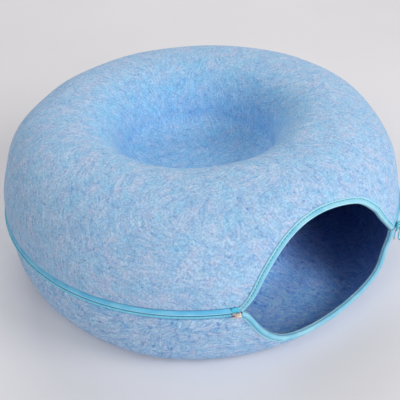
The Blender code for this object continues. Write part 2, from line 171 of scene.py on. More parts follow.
def beyond(line, height):
    """The part of a cut that is farther than a height from the seam."""
    inside = np.flatnonzero(np.abs(line[:, 1]) > height)
    first, last = inside[0], inside[-1]

    def crossing(low, high):
        share = (height - abs(line[low, 1])) / (abs(line[high, 1]) - abs(line[low, 1]))
        return line[low] + share * (line[high] - line[low])

    ends = crossing(first - 1, first), crossing(last + 1, last)
    return np.vstack((ends[0], line[first : last + 1], ends[1]))


class Meridian:
    """A felt's outer face in section, from the seam along the wall and on into the dish.

    facing is 1 for the upper felt and -1 for the lower one. Places are distances along it.
    """

    def __init__(self, facing, wall, rest):
        self.facing = facing
        self.points = np.vstack((wall, rest))
        self.along = distances(self.points)
        self.wall_end = distances(wall)[-1]
        self.fine_along = np.linspace(0, self.wall_end, WALL_SAMPLES)
        self.fine = np.column_stack(self.at(self.fine_along))

    def at(self, along):
        """The radius and the height of each place."""
        return [np.interp(along, self.along, column) for column in self.points.T]

    def wall_at(self, height):
        """The places on the wall at heights over or under the seam."""
        wall = self.along <= self.wall_end
        rise = self.facing * (self.points[wall, 1] - SEAM_HEIGHT)
        return np.interp(np.abs(height), rise, self.along[wall])

    def nearest(self, radius, height):
        """The places on the wall that are nearest to the given points."""
        gaps = np.hypot(
            self.fine[:, 0] - np.ravel(radius)[:, None], self.fine[:, 1] - np.ravel(height)[:, None]
        )
        return self.fine_along[np.argmin(gaps, axis=1)].reshape(np.shape(radius))

    def normal(self, along):
        """The outward direction at each place, as (across, up)."""
        before, after = self.at(along - NORMAL_STEP), self.at(along + NORMAL_STEP)
        across, up = np.subtract(after, before)
        return self.facing * np.array((up, -across)) / np.hypot(across, up)


def top_meridian():
    crest = (CREST_RADIUS, HEIGHT)
    throat = (THROAT_RADIUS, THROAT_HEIGHT)
    wall = quarter((TOP_RADIUS, SEAM_HEIGHT), crest, CREST_POWER)
    inner_wall = quarter(throat, crest, THROAT_POWER)[-2::-1]
    dish = quarter(throat, (DISH_RADIUS, DISH_HEIGHT), DISH_POWER)
    return Meridian(1, wall, np.vstack((inner_wall, dish[1:], (0, DISH_HEIGHT))))


def foot_meridian():
    throat = (THROAT_RADIUS, HEIGHT - THROAT_HEIGHT)
    dish_height = HEIGHT - DISH_HEIGHT
    wall = quarter((FOOT_RADIUS, SEAM_HEIGHT), (BASE_OUTER_RADIUS, 0), FOOT_POWER)
    inner_wall = quarter(throat, (BASE_INNER_RADIUS, 0), THROAT_POWER)[::-1]
    dish = quarter(throat, (DISH_RADIUS, dish_height), DISH_POWER)
    return Meridian(-1, wall, np.vstack((inner_wall, dish[1:], (0, dish_height))))


def turn_of(across, radius):
    """The turn round the ring of a place on its front half."""
    return np.arcsin(across / radius) - math.pi / 2


def degrees_off(turn, azimuth):
    """How far turns are from an azimuth, from -180 to 180 degrees."""
    return (np.degrees(turn) - azimuth + 180) % 360 - 180


def ease(share):
    """A smooth step from 0 to 1."""
    share = np.clip(share, 0, 1)
    return share * share * (3 - 2 * share)


def slack(turn, height, azimuth, before, after, size, low, full_low, full_high, high):
    """How far one kind of slack moves a place of the outer wall."""
    off = degrees_off(turn, azimuth)
    spread = np.where(off < 0, before, after)
    fade = ease((height - low) / (full_low - low)) * ease((high - height) / (high - full_high))
    return size * np.exp(-((off / spread) ** 2)) * fade


def turned(turn, radius, height):
    """Points on the ring, in the part's frame."""
    turn, radius, height = np.broadcast_arrays(turn, radius, height)
    return np.stack((radius * np.cos(turn), radius * np.sin(turn) + RING_AXIS_Y, height), axis=-1)


def around(turn, radius, height):
    """Points on the ring, moved with the corner's slack."""
    turn, radius, height = np.broadcast_arrays(turn, radius, height)
    wall = radius >= CREST_RADIUS
    bulge = slack(turn, height, *CORNER_BULGE) + slack(turn, height, *LEG_BULGE)
    return turned(turn, radius + bulge * wall, height - slack(turn, height, *DROOP) * wall)


def pointing(turn, across, up):
    """Directions in the part's frame, from their shares away from the ring's axis and up."""
    turn, across, up = np.broadcast_arrays(turn, across, up)
    return np.stack((across * np.cos(turn), across * np.sin(turn), up), axis=-1)


def waves(points, size, seed):
    """A smooth random field of about -1 to 1, whose features are about size across."""
    draw = np.random.default_rng(seed)
    ways = draw.normal(size=(WAVES, 3))
    ways *= (draw.uniform(*WAVE_SPREAD, WAVES) / np.linalg.norm(ways, axis=1))[:, None]
    phases = draw.uniform(0, 2 * math.pi, WAVES)
    return np.sin(points @ ways.T * (math.pi / size) + phases).sum(axis=-1) / math.sqrt(WAVES / 2)


# ---------------------------------------------------------------- making pieces


def add_piece(name, points, faces, material, replaces=()):
    """A smooth mesh that rides on the one body."""
    mesh = bpy.data.meshes.new(name)
    mesh.from_pydata([tuple(p) for p in np.asarray(points).reshape(-1, 3)], [], faces)
    shape = bmesh.new()
    shape.from_mesh(mesh)
    bmesh.ops.recalc_face_normals(shape, faces=shape.faces)
    shape.to_mesh(mesh)
    shape.free()
    mesh.shade_smooth()
    piece = bpy.data.objects.new(name, mesh)
    mesh.materials.append(material)
    bpy.context.scene.collection.objects.link(piece)
    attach(piece, "root")
    if replaces:
        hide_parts(*replaces)
    return piece


def grid_faces(rows, columns, wrap_rows=False, wrap_columns=False):
    """Quads of a grid whose point (row, column) is numbered row * columns + column."""
    faces = []
    for row in range(rows - (not wrap_rows)):
        here, following = row * columns, (row + 1) % rows * columns
        for column in range(columns - (not wrap_columns)):
            beside = (column + 1) % columns
            faces.append((here + column, following + column, following + beside, here + beside))
    return faces


def swept(loops):
    """Faces of a closed tube through equal loops of points, capped at both ends."""
    rows, columns = loops.shape[:2]
    faces = grid_faces(rows, columns, wrap_columns=True)
    faces.append(tuple(range(columns)))
    faces.append(tuple(range((rows - 1) * columns, rows * columns)))
    return faces


def add_tubes(name, tubes, material, replaces=()):
    """One piece made of several closed tubes, each given by its loops of points."""
    points, faces, first = [], [], 0
    for loops in tubes:
        points.append(loops.reshape(-1, 3))
        faces += [tuple(first + k for k in face) for face in swept(loops)]
        first += len(points[-1])
    return add_piece(name, np.vstack(points), faces, material, replaces)


def set_attribute(piece, name, kind, field, values):
    """A value for each point, for the materials to read."""
    layer = piece.data.attributes.new(name, kind, "POINT")
    layer.data.foreach_set(field, np.asarray(values, np.float32).ravel())


def set_map(piece, coordinates):
    """A map called cloth, in metres along and across the tape, from one pair for each point."""
    layer = piece.data.uv_layers.new(name="cloth")
    numbers = np.empty(len(piece.data.loops), np.int32)
    piece.data.loops.foreach_get("vertex_index", numbers)
    layer.data.foreach_set("uv", np.asarray(coordinates, np.float32)[numbers].ravel())


# ---------------------------------------------------------------- materials

# Waves in a metre of Blender's wave texture at scale 1
WAVES_AT_SCALE_1 = 3.18


class Shader:
    """A Principled material whose nodes are added by short calls."""

    def __init__(self, name, **sockets):
        self.material = bpy.data.materials.new(name)
        self.material.use_nodes = True
        self.tree = self.material.node_tree
        self.principled = self.tree.nodes["Principled BSDF"]
        for socket, value in sockets.items():
            self.principled.inputs[socket.replace("_", " ")].default_value = value

    def add(self, kind, output, settings=(), **inputs):
        """A new node's output. Its inputs go by name, or by number as i0, i1 and so on."""
        node = self.tree.nodes.new(kind)
        for key, value in dict(settings).items():
            setattr(node, key, value)
        for key, value in inputs.items():
            key = key.replace("_", " ")
            socket = node.inputs[int(key[1:]) if key[0] == "i" and key[1:].isdigit() else key]
            if isinstance(value, bpy.types.NodeSocket):
                self.tree.links.new(value, socket)
            else:
                socket.default_value = value
        return node.outputs[output]

    def position(self):
        return self.add("ShaderNodeTexCoord", "Object")

    def attribute(self, name, output="Vector"):
        return self.add("ShaderNodeAttribute", output, {"attribute_name": name})

    def noise(self, place, size, detail=2.0, roughness=0.5, distortion=0.0):
        return self.add(
            "ShaderNodeTexNoise",
            0,
            Vector=place,
            Scale=1 / size,
            Detail=detail,
            Roughness=roughness,
            Distortion=distortion,
        )

    def math(self, operation, a, b):
        return self.add("ShaderNodeMath", 0, {"operation": operation}, i0=a, i1=b)

    def total(self, first, *others):
        for other in others:
            first = self.math("ADD", first, other)
        return first

    def centred(self, noise, strength):
        """Noise moved from about a half to about nought."""
        return self.math("MULTIPLY", self.math("SUBTRACT", noise, 0.5), strength)

    def vector(self, operation, a, b):
        return self.add("ShaderNodeVectorMath", 0, {"operation": operation}, i0=a, i1=b)

    def scaled(self, vector, factor):
        return self.add("ShaderNodeVectorMath", 0, {"operation": "SCALE"}, i0=vector, Scale=factor)

    def ranged(self, value, low, high, to_low=0.0, to_high=1.0):
        return self.add(
            "ShaderNodeMapRange",
            0,
            {"clamp": True},
            Value=value,
            From_Min=low,
            From_Max=high,
            To_Min=to_low,
            To_Max=to_high,
        )

    def mix(self, share, a, b, clamp=False):
        settings = {"data_type": "RGBA", "clamp_result": clamp}
        return self.add("ShaderNodeMix", 2, settings, i0=share, i6=a, i7=b)

    def bump(self, height, distance, strength):
        return self.add("ShaderNodeBump", 0, Height=height, Distance=distance, Strength=strength)

    def link(self, output, socket):
        self.tree.links.new(output, self.principled.inputs[socket])


def colour(red, green, blue):
    """An sRGB colour, 0 to 255, as linear values."""
    parts = np.array((red, green, blue)) / 255
    linear = np.where(parts <= 0.04045, parts / 12.92, ((parts + 0.055) / 1.055) ** 2.4)
    return (*linear, 1.0)


FELT_PALE = colour(198, 227, 251)
FELT_DEEP = colour(80, 149, 215)
FELT_ROSE = colour(208, 209, 236)
FELT_SKY = colour(142, 208, 244)
FELT_BLOT = colour(92, 146, 214)
FELT_NAVY = colour(50, 104, 182)
FELT_SHEEN = colour(235, 240, 250)
PALE_SHARE = 0.62

# What the colour is multiplied by between the fibres: painted shade in the hollows of the fine
# relief
FELT_HOLLOW_SHADE = (0.72, 0.74, 0.76)

# Painted stand-ins for the shade in the photo. The attribute called inside is 0 on the outer face,
# DISH_SHADE in the dish, and 1 to 2 on the inner face, where 2 is farthest from the light.
DISH_SHADE = 0.75
DISH_TINT = (0.87, 1.02, 1.06)
UPPER_INSIDE = (0.34, 0.31, 0.33)
LOWER_INSIDE = (0.86, 1.06, 1.36)
FAR_TINT = (0.52, 0.54, 0.70)


def felt_shader(name, contrast, inside_tint):
    """Pale and deep blue fibres, drawn out along the grain and gathered in soft clumps."""
    shader = Shader(
        name,
        Roughness=0.95,
        Sheen_Weight=0.15,
        Sheen_Roughness=0.5,
        Sheen_Tint=FELT_SHEEN,
        Specular_IOR_Level=0.1,
    )
    place = shader.position()
    grain = shader.attribute("grain")
    inside = shader.attribute("inside", "Fac")

    def streaks(width, step, reach, offset):
        """Noise averaged along the fibres, so that it draws out into streaks."""
        samples = []
        for k in range(-reach, reach + 1):
            moved = shader.vector("ADD", place, shader.scaled(grain, k * step))
            moved = shader.vector("ADD", moved, (offset, offset, offset))
            samples.append(shader.noise(moved, width, detail=1.0))
        return shader.math("MULTIPLY", shader.total(*samples), 1 / len(samples))

    def speckles(offset, size, **more):
        """Noise that doesn't run with the other layers."""
        return shader.noise(shader.vector("ADD", place, offset), size, **more)

    hairs = streaks(0.0017, 0.0013, 4, 0.0)
    fibres = streaks(0.0028, 0.0019, 2, 0.7)
    swathes = streaks(0.0034, 0.0024, 2, 1.9)
    tufts = shader.noise(place, 0.0085, detail=1.0, distortion=0.4)
    clumps = shader.noise(place, 0.026, detail=1.0, distortion=0.5)
    fine_relief = shader.noise(place, 0.0021, detail=1.0, roughness=0.6)
    patches = speckles((0.5, 0.2, 0.9), 0.014, detail=2.0, roughness=0.6)
    blots = speckles((0.1, 0.8, 0.4), 0.0075, detail=3.0, roughness=0.7)
    dots = speckles((0.3, 0.1, 0.2), 0.0034, detail=1.0)

    # The hairs stand out more on the inner face
    streaky = shader.ranged(inside, DISH_SHADE, 1.0, 1.1 * contrast, 3.0)
    share = shader.total(
        PALE_SHARE,
        shader.centred(hairs, streaky),
        shader.centred(fibres, contrast),
        shader.centred(tufts, 0.36 * contrast),
        shader.centred(clumps, 0.26),
    )
    base = shader.mix(shader.ranged(share, 0.0, 1.0), FELT_DEEP, FELT_PALE)
    hue = shader.total(
        shader.math("MULTIPLY", swathes, 0.55), shader.math("MULTIPLY", patches, 0.45)
    )
    # (layer, where the colour starts, where it is strongest, its share there, colour)
    for layer, start, full, most, paint in (
        (hue, 0.49, 0.39, 0.45, FELT_ROSE),
        (hue, 0.51, 0.61, 0.5, FELT_SKY),
        (blots, 0.55, 0.72, 0.4 * contrast, FELT_BLOT),
        (dots, 0.66, 0.78, 0.5, FELT_NAVY),
        (dots, 0.34, 0.24, 0.5, FELT_ROSE),
    ):
        base = shader.mix(shader.ranged(layer, start, full, 0.0, most), base, paint)
    # Painted shade: the colour is darker where the fine relief is low, between the fibres
    hollow_shade = shader.vector("MULTIPLY", base, FELT_HOLLOW_SHADE)
    base = shader.mix(shader.ranged(fine_relief, 0.62, 0.38, 0.0, 0.8), base, hollow_shade)

    # Painted shade: the dish, the inner faces and the inside away from the lit part are tinted
    # darker, by the attribute called inside
    inner = shader.ranged(inside, DISH_SHADE, 1.0)
    tint = shader.mix(inner, (*DISH_TINT, 1), (*inside_tint, 1))
    farther = shader.vector("MULTIPLY", tint, FAR_TINT)
    tint = shader.mix(shader.ranged(inside, 1.0, 2.0), tint, farther)
    tinted = shader.vector("MULTIPLY", base, tint)
    base = shader.mix(shader.ranged(inside, 0.0, DISH_SHADE), base, tinted, clamp=True)
    shader.link(base, "Base Color")

    relief = shader.total(
        shader.math("MULTIPLY", hairs, 1.2), fibres, shader.math("MULTIPLY", fine_relief, 0.6)
    )
    shader.link(shader.bump(relief, 0.0010, 0.5), "Normal")
    return shader.material


def woven_shader(name, thread, shade, pale, bands, pitch):
    """Tape woven from fine threads, laid out in metres along and across the tape by its map.

    Each band is (low, full_low, full_high, high, share, colour), in metres across the tape.
    """
    shader = Shader(
        name,
        Roughness=0.7,
        Sheen_Weight=0.2,
        Sheen_Roughness=0.4,
        Specular_IOR_Level=0.35,
    )
    cloth = shader.add("ShaderNodeUVMap", 0, {"uv_map": "cloth"})

    def threads(direction):
        settings = {"wave_type": "BANDS", "bands_direction": direction}
        scale = 1 / pitch / WAVES_AT_SCALE_1
        return shader.add("ShaderNodeTexWave", 1, settings, Vector=cloth, Scale=scale)

    weave = shader.math("MULTIPLY", threads("X"), threads("Y"))
    tone = shader.noise(shader.position(), 0.02)
    base = shader.mix(shader.ranged(weave, 0.0, 0.7), shade, thread)
    base = shader.mix(shader.ranged(tone, 0.42, 0.66, 0.0, 0.5), base, pale)
    over = shader.add("ShaderNodeSeparateXYZ", 1, Vector=cloth)
    for low, full_low, full_high, high, share, paint in bands:
        rise = shader.ranged(over, low, full_low, 0.0, share)
        fall = shader.ranged(over, full_high, high, 1.0, 0.0)
        base = shader.mix(shader.math("MULTIPLY", rise, fall), base, paint)
    shader.link(base, "Base Color")
    shader.link(shader.bump(weave, 0.00025, 0.7), "Normal")
    return shader.material


def binding_cloth(name, fold_highlight, crease_shadow_and_highlight, thread):
    """A binding's cloth, with painted light on it. The first share sets a painted highlight over
    the folded edge; the second sets a painted shadow line inside that, and a fainter painted
    highlight along the inner edge.
    """
    return woven_shader(
        name,
        thread,
        colour(112, 190, 225),
        colour(176, 228, 244),
        (
            # Bands: a painted highlight by the outer leg's edge, a painted highlight over the fold,
            # a painted shadow line inside it, and a painted highlight along the inner edge
            (-0.001, 0.0, 0.0016, 0.0024, 0.55, colour(180, 238, 248)),
            (0.0066, 0.0080, 0.0098, 0.0106, fold_highlight, colour(184, 244, 255)),
            (0.0100, 0.0104, 0.0113, 0.0117, crease_shadow_and_highlight, colour(22, 84, 156)),
            (0.0116, 0.0120, 0.0136, 0.0142, crease_shadow_and_highlight * 0.6, colour(206, 246, 255)),
        ),
        0.0009,
    )


def tape_cloth(name, groove, pale_end):
    """A tape's cloth: a painted shadow in the groove by the coil, then a pale band, and a painted
    shadow under the felt's rim.
    """
    groove_shadow_end = groove + 0.0008
    return woven_shader(
        name,
        colour(130, 214, 247),
        colour(84, 180, 229),
        colour(148, 220, 247),
        (
            # A painted shadow by the coil, a pale band, and a painted shadow under the felt's rim
            (groove - 0.0003, groove, groove + 0.0005, groove_shadow_end, 0.85, colour(24, 92, 144)),
            (groove_shadow_end, groove + 0.0010, pale_end, pale_end + 0.0004, 0.6, colour(186, 236, 250)),
            (0.0052, 0.0059, 0.0090, 0.0100, 0.85, colour(14, 70, 134)),
        ),
        0.0008,
    )


def plain_shader(name, main, other, size, relief=0.0001, **sockets):
    """A hard or threadlike finish with fine mottling."""
    shader = Shader(name, **sockets)
    mottle = shader.noise(shader.position(), size, detail=3.0)
    shader.link(shader.mix(shader.ranged(mottle, 0.4, 0.65), main, other), "Base Color")
    shader.link(shader.bump(mottle, relief, 0.5), "Normal")
    return shader.material


# ---------------------------------------------------------------- felt shells

EDGE_STEPS = 130
RING_STEPS = 250
INNER_STEPS = 64

# Where the rows of the wall lie, from the rim to the crest or the base
WALL_SHARES = np.concatenate(((0, 0.006, 0.014, 0.026), np.linspace(0.045, 1, 26)))

# The soft cut edge: how far it reaches from the rim, and how far each face rolls in there
RIM_ROLL = 0.0014
OUTER_ROLL = 0.0011
INNER_ROLL = 0.0009

# The felt's unevenness, which starts some way from the rim and spares the flat base
UNEVEN = 0.0007
UNEVEN_SIZE = 0.075
UNEVEN_SEED = 11
UNEVEN_START = 0.010
UNEVEN_RISE = 0.030
BASE_FLAT = 0.002
BASE_RISE = 0.02

# The share of the unevenness by which its rises are lowered and its hollows deepened
SUNK = 0.3

# Places where the upper felt stands fuller: (azimuth, spread, size). They are fullest at a slope
# of the wall, and fade to both sides of it.
FULLER = ((116.0, 35.0, 0.0028), (8.0, 13.0, 0.0030))
FULLEST_SLOPE = 0.5
SLOPE_SPREAD = 0.35

# The fibres lie along the meridian, and aslant from a radius on: (radius, rise, angle). They
# wander from there: (angle, size, seed).
GRAIN_STEP = 0.001
GRAIN_SLANT = (0.185, 0.04, -0.8)
GRAIN_WANDER = ((0.45, 0.07, 5), (0.35, 0.022, 6))

# Where the painted shade starts: from a radius inwards on the outer face, and on the inner face
# on both sides of the part of the tunnel that the photo shows lit, in degrees
DISH_SHADE_RADIUS = CREST_RADIUS - 0.010
DISH_SHADE_EASE = 0.040
LIT_FROM, LIT_FROM_EASE = 215, 35
LIT_TO, LIT_TO_EASE = 269, 40


def felt_columns(meridian, cut, rim):
    """(turn, distance of the rim along the outer face) of each column round the ring."""
    edge = evenly(beyond(smooth_line(cut), rim), EDGE_STEPS + 1)
    edge_along = meridian.wall_at(edge[:, 1])
    edge_turn = turn_of(edge[:, 0], meridian.at(edge_along)[0])
    start, end = edge_turn[-1], edge_turn[0] + 2 * math.pi
    rest = np.linspace(start, end, RING_STEPS + 2)[1:-1]
    turns = np.concatenate((edge_turn, rest))
    starts = np.concatenate((edge_along, np.full(len(rest), meridian.wall_at(rim))))
    return turns, starts


def felt_swell(facing, turns, points, normal, from_rim):
    """How far the felt stands out of its even shape."""
    across, up = normal
    free = np.clip((from_rim - UNEVEN_START) / UNEVEN_RISE, 0, 1) ** 2
    flat_foot = np.clip((points[..., 2] - BASE_FLAT) / BASE_RISE, 0, 1) if facing < 0 else 1
    swell = UNEVEN * waves(points, UNEVEN_SIZE, UNEVEN_SEED + facing) * free * flat_foot
    swell = swell - np.abs(swell) * SUNK
    if facing > 0:
        sloped = np.exp(-(((up - FULLEST_SLOPE) / SLOPE_SPREAD) ** 2)) * (across > 0)
        for azimuth, spread, size in FULLER:
            off = degrees_off(turns, azimuth)
            swell = swell + size * np.exp(-((off / spread) ** 2)) * sloped * free
    return swell


def fibre_ways(meridian, turns, along, points):
    """The direction of the fibres at each point."""
    here = meridian.at(along)
    slope = np.subtract(meridian.at(along + GRAIN_STEP), here)
    slope = slope / (np.hypot(*slope) + 1e-9)
    meridional = pointing(turns, *slope)
    sideways = np.stack((-np.sin(turns), np.cos(turns), np.zeros_like(turns)), axis=-1)
    start, rise, slant = GRAIN_SLANT
    angle = slant * np.clip((here[0] - start) / rise, 0, 1)
    for most, size, seed in GRAIN_WANDER:
        angle = angle + most * waves(points, size, seed)
    return meridional * np.cos(angle)[..., None] + sideways * np.sin(angle)[..., None]


def painted_shade(turns, radius):
    """The values of the attribute called inside, for the outer and the inner face."""
    azimuth = np.degrees(turns) % 360
    outer = DISH_SHADE * ease((DISH_SHADE_RADIUS - radius) / DISH_SHADE_EASE)
    after = ease((azimuth - LIT_TO) / LIT_TO_EASE)
    before = ease((LIT_FROM - azimuth) / LIT_FROM_EASE)
    return outer, 1 + after + before


def both_faces(outer, inner):
    """The rows of a felt's section, from the dish out to the rim and back inside."""
    return np.concatenate((outer[:, ::-1], inner), axis=1)


def felt_shell(name, meridian, cut, rim, material, node):
    """A felt with an outer and an inner face, and its middle closed by a fan of triangles."""
    edge_turns, starts = felt_columns(meridian, cut, rim)
    whole = meridian.along[-1]
    inner = meridian.wall_end + (whole - meridian.wall_end) * np.linspace(0, 1, INNER_STEPS)[1:-1]
    along = np.column_stack(
        (
            starts[:, None] + (meridian.wall_end - starts[:, None]) * WALL_SHARES,
            np.broadcast_to(inner, (len(edge_turns), len(inner))),
        )
    )
    turns = np.broadcast_to(edge_turns[:, None], along.shape)
    radius, height = meridian.at(along)
    points = around(turns, radius, height)
    normal = meridian.normal(along)
    outward = pointing(turns, *normal)
    from_rim = along - starts[:, None]
    swell = felt_swell(meridian.facing, turns, points, normal, from_rim)
    points = points + outward * swell[..., None]

    # Both faces roll in to a soft cut edge at the rim
    roll = np.clip(1 - from_rim / RIM_ROLL, 0, 1)
    outer = points - outward * (OUTER_ROLL * roll**2)[..., None]
    back = points - outward * (FELT - INNER_ROLL * roll**2)[..., None]
    middle = around(0, 0, meridian.points[-1, 1])
    middle_back = middle - (0, 0, meridian.facing * FELT)
    sheet = both_faces(outer, back)
    columns, rows = sheet.shape[:2]
    count = columns * rows
    faces = grid_faces(columns, rows, wrap_rows=True)
    for column in range(columns):
        here, there = column * rows, (column + 1) % columns * rows
        faces.append((here, there, count))
        faces.append((here + rows - 1, there + rows - 1, count + 1))
    all_points = np.vstack((sheet.reshape(-1, 3), middle, middle_back))
    piece = add_piece(name, all_points, faces, material, (node,))

    grain = fibre_ways(meridian, turns, along, points)
    grain = np.vstack((both_faces(grain, grain).reshape(-1, 3), (1, 0, 0), (1, 0, 0)))
    set_attribute(piece, "grain", "FLOAT_VECTOR", "vector", grain)
    shades = both_faces(*painted_shade(turns, radius)).ravel()
    set_attribute(piece, "inside", "FLOAT", "value", np.append(shades, (DISH_SHADE, 1)))


# ---------------------------------------------------------------- bindings

BINDING_STEPS = 300

# The groove that the stitches lie in: how far it is from the tape's edge, and its depth
GROOVE_IN = 0.0022
GROOVE_DEPTH = 0.0006

# The binding's free edges wander, where they are at least WANDER_FROM in from the cut, and its
# face puckers. Both fade out towards its ends.
WANDER_FROM = 0.004
WANDER = 0.00022
WANDER_SIZE = 0.022
PUCKER = 0.00012
PUCKER_SIZE = 0.0075
FADE = 0.006

# The stitches in that groove, and how far they start from the binding's ends
STITCH_START = 0.004
STITCH_PITCH = 0.0040
STITCH = 0.0030
STITCH_STEPS = 5
STITCH_DEPTH = 0.00050
THREAD_RADIUS = 0.00032
THREAD_SIDES = 6


def binding_section():
    """(inwards from the cut, out of the felt) round the folded tape, outer leg first."""
    back = -FELT - BINDING_EASE
    out = GAP + BINDING
    return np.array(
        (
            # The outer leg's edge
            (BINDING_WIDTH, GAP),
            (BINDING_WIDTH - 0.0002, GAP + 0.0006),
            (BINDING_WIDTH - 0.0008, out),
            # The stitches' groove
            (BINDING_WIDTH - 0.0014, out),
            (BINDING_WIDTH - 0.0018, out - 0.00045),
            (BINDING_WIDTH - GROOVE_IN, out - GROOVE_DEPTH),
            (BINDING_WIDTH - 0.0026, out - 0.00045),
            (BINDING_WIDTH - 0.0031, out + 0.0001),
            # The fold over the cut edge
            (0.0015, out + 0.0003),
            (0.0004, out + 0.0002),
            (-GAP - 0.0006, out - 0.0004),
            (-GAP - BINDING * 0.95, -0.0006),
            (-GAP - BINDING * 1.1, -FELT / 2),
            (-GAP - BINDING * 0.95, -FELT + 0.0004),
            (-GAP - 0.0006, back - 0.0006),
            # The inner leg
            (0.0004, back - BINDING),
            (0.0022, back - BINDING),
            (BINDING_WIDTH - 0.0004, back - BINDING),
            # Back along the felt
            (BINDING_WIDTH, back),
            (-GAP, back),
            (-GAP, GAP),
        )
    )


class CutPath:
    """The cut's own frame: places by (distance along the cut, inwards, out of the felt)."""

    def __init__(self, meridian, cut, rim, start):
        ends = beyond(smooth_line(cut), start)
        felt_cut = evenly(beyond(smooth_line(cut), rim), 4 * EDGE_STEPS + 1)
        line = np.vstack((ends[0], felt_cut, ends[-1]))
        self.meridian = meridian
        along = meridian.wall_at(line[:, 1])
        radius, height = meridian.at(along)
        turns = turn_of(line[:, 0], radius)
        self.path = turned(turns, radius, height)
        self.distance = distances(self.path)
        self.whole = self.distance[-1]
        outward = pointing(turns, *meridian.normal(along))
        tangents = np.gradient(self.path, self.distance, axis=0)
        inward = np.cross(outward, tangents) * meridian.facing
        self.inward = inward / np.linalg.norm(inward, axis=1)[:, None]

    def read(self, table, distance):
        """A table's values at distances along the cut."""
        return np.stack([np.interp(distance, self.distance, column) for column in table.T], axis=-1)

    def place(self, distance, reach, out):
        """Points that lie on the felt's curve, out of its outer face."""
        distance, reach, out = np.broadcast_arrays(distance, reach, out)
        on = self.read(self.path, distance) + self.read(self.inward, distance) * reach[..., None]
        x, y = on[..., 0], on[..., 1] - RING_AXIS_Y
        foot = self.meridian.nearest(np.hypot(x, y), on[..., 2])
        radius, height = self.meridian.at(foot)
        lift, rise = self.meridian.normal(foot)
        return around(np.arctan2(y, x), radius + lift * out, height + rise * out)


def bound_edge(name, path, material, node, seed):
    """The tape that is folded over a felt's cut edge."""
    section = binding_section()
    inwards, lifted = section.T
    places = np.linspace(0, path.whole, BINDING_STEPS)
    line = np.column_stack((places, np.zeros((BINDING_STEPS, 2))))
    wander = waves(line, WANDER_SIZE, seed)[:, None]
    pucker = waves(line, PUCKER_SIZE, seed + 1)[:, None]
    from_end = np.minimum(places, path.whole - places)[:, None]
    fade = np.clip(from_end / FADE, 0, 1)
    outer = (lifted > GAP) & (inwards > -GAP)
    reach = inwards + np.where(inwards > WANDER_FROM, WANDER * wander * fade, 0)
    out = lifted + np.where(outer, PUCKER * np.abs(pucker) * fade, 0)
    loops = path.place(places[:, None], reach, out)
    piece = add_piece(name, loops, swept(loops), material, (node,))
    pairs = np.stack(np.broadcast_arrays(places[:, None], distances(section)), axis=-1)
    set_map(piece, pairs.reshape(-1, 2))
    return piece


def stitches(name, path, material):
    """Short threads sunk in the binding's groove."""
    ring = np.linspace(0, 2 * math.pi, THREAD_SIDES, endpoint=False)
    arc = np.sin(np.linspace(0, math.pi, STITCH_STEPS))
    reach = BINDING_WIDTH - GROOVE_IN + THREAD_RADIUS * np.cos(ring)
    out = GAP + BINDING - STITCH_DEPTH + THREAD_RADIUS * arc[:, None] + THREAD_RADIUS * np.sin(ring)
    threads = []
    for start in np.arange(STITCH_START, path.whole - STITCH_START, STITCH_PITCH):
        along = start + np.linspace(0, STITCH, STITCH_STEPS)
        threads.append(path.place(along[:, None], reach, out))
    return add_tubes(name, threads, material)


# ---------------------------------------------------------------- zip

TAPE_STEPS = 420
TAPE_SHARES = np.array((0.0, 0.14, 0.28, 0.44, 0.6, 0.75, 0.88, 1.0))

# Heights from the seam where the tape starts, where it bends back from the coil, and where it ends
TAPE_LOW = 0.0002
TAPE_KNEE = 0.0016
TAPE_REACH = 0.0098

# How the tape ripples between the coil and the felt's rim
RIPPLE = 0.00022
RIPPLE_SIZE = 0.016
RIPPLE_SEED = 21

# How far the rear of a tape is moved on its map, so that the bands stay on its front
REAR_MAP = 0.02

# The coil's ribs lean and step to and fro by turns, bow out, and taper to their ends
COIL_PITCH = 0.00095
COIL_LIFT = 0.00015
RIB_LEAN = 0.00016
RIB_STAGGER = 0.00008
RIB_BOW = 0.00055
RIB_RADIUS = 0.00047
RIB_SHARES = np.linspace(-1, 1, 6)
RIB_TAPER = np.array((0.55, 0.95, 1, 1, 0.95, 0.55))
RIB_SIDES = 6

CORE_STEPS = 300

# How much of a bar's rounding its corners keep, and how much of it its ends draw in
BEVEL = 0.3
END_DRAW = 0.9


def zip_span():
    """The turns where the zip starts and ends, at the entrance's right and left corners."""
    left = turn_of(ENTRANCE_TOP[0][0], TAPE_RADIUS)
    right = turn_of(ENTRANCE_TOP[-1][0], TAPE_RADIUS)
    return right + GAP / TAPE_RADIUS, left + 2 * math.pi - GAP / TAPE_RADIUS


